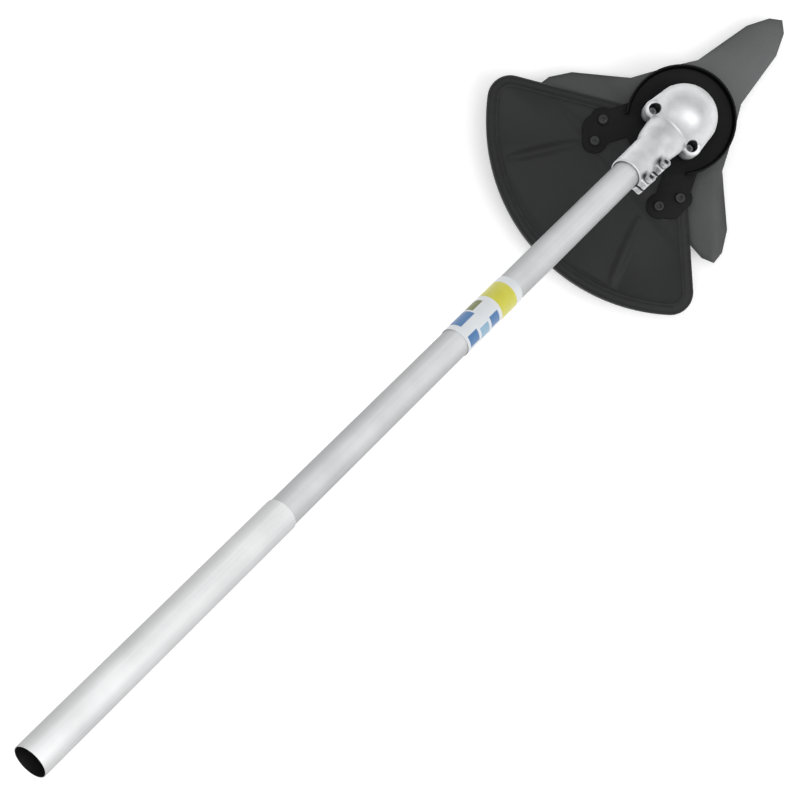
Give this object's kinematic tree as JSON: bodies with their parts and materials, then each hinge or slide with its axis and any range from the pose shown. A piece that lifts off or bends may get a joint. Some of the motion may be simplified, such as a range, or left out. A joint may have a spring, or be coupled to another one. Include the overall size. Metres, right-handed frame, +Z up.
{
  "type": "brush cutter attachment",
  "caption": "Straight boom with an angled gear case, a pointed metal cutting blade and a fan-shaped debris guard; it plugs onto a power unit's tube and is driven through a shaft.",
  "frame": {"origin": "centre of the boom's open end, where the power unit's tube plugs in", "axes": "+X horizontally from the open end towards the blade, +Z up with the blade level, +Y to the left when looking along +X"},
  "size_m": [0.7717, 0.2605, 0.6085],
  "materials": {
    "boom_aluminium": "satin drawn tube",
    "sleeve_aluminium": "satin drawn tube, a little paler",
    "label_band": null,
    "cast_alloy": "as-cast, lightly blasted",
    "bearing_steel": "ground",
    "zinc_steel": "zinc plated",
    "blade_steel": "dark blued plate with bright ground edges",
    "bracket_paint": "black enamel, semi-gloss",
    "guard_plastic": "moulded, fine texture",
    "black_rubber": "matt",
    "dark_fasteners": "black oxide",
    "plug_brass": "turned"
  },
  "bodies": {
    "root": {"boom_tube": "boom_aluminium", "coupling_sleeve": "sleeve_aluminium", "sleeve_rivet": "zinc_steel", "label_wrap": "label_band", "shaft_bushing_1": "black_rubber", "shaft_bushing_2": "black_rubber", "shaft_bushing_3": "black_rubber", "shaft_bushing_4": "black_rubber", "pinion_bearing_front": "bearing_steel", "pinion_bearing_rear": "bearing_steel", "pinion_retaining_ring": "zinc_steel", "clamp_screw_1": "zinc_steel", "clamp_screw_2": "zinc_steel", "locating_screw": "zinc_steel", "gear_case": "cast_alloy", "grease_plug": "plug_brass", "top_bearing": "bearing_steel", "bottom_bearing": "bearing_steel", "bearing_retaining_ring": "zinc_steel", "shaft_seal": "black_rubber", "guard_bracket": "bracket_paint", "bracket_screw_1": "zinc_steel", "bracket_screw_2": "zinc_steel", "bracket_screw_3": "zinc_steel", "guard_shield": "guard_plastic", "guard_screw_1": "dark_fasteners", "guard_nut_1": "dark_fasteners", "guard_screw_2": "dark_fasteners", "guard_nut_2": "dark_fasteners", "guard_screw_3": "dark_fasteners", "guard_nut_3": "dark_fasteners", "guard_screw_4": "dark_fasteners", "guard_nut_4": "dark_fasteners"},
    "cutter": {"output_shaft": "bearing_steel", "bevel_gear": "bearing_steel", "blade_holder": "zinc_steel", "cutting_blade": "blade_steel", "clamp_washer": "zinc_steel", "gliding_cup": "zinc_steel", "blade_nut": "zinc_steel", "split_pin": "zinc_steel"},
    "drive_line": {"drive_shaft": "bearing_steel", "bevel_pinion": "bearing_steel"}
  },
  "joints": [
    {"name": "blade_spin", "type": "hinge", "parent": "root", "child": "cutter", "pos_m": [0.63582, 0, -0.53351], "axis": [0, 0, 1], "continuous": true},
    {"name": "drive_spin", "type": "hinge", "parent": "root", "child": "drive_line", "pos_m": [0.63582, 0, -0.53351], "axis": [-0.766, 0, 0.6428], "continuous": true}
  ],
  "couplings": [
    {"joint": "drive_spin", "follows": "blade_spin", "ratio": -1.3571}
  ]
}
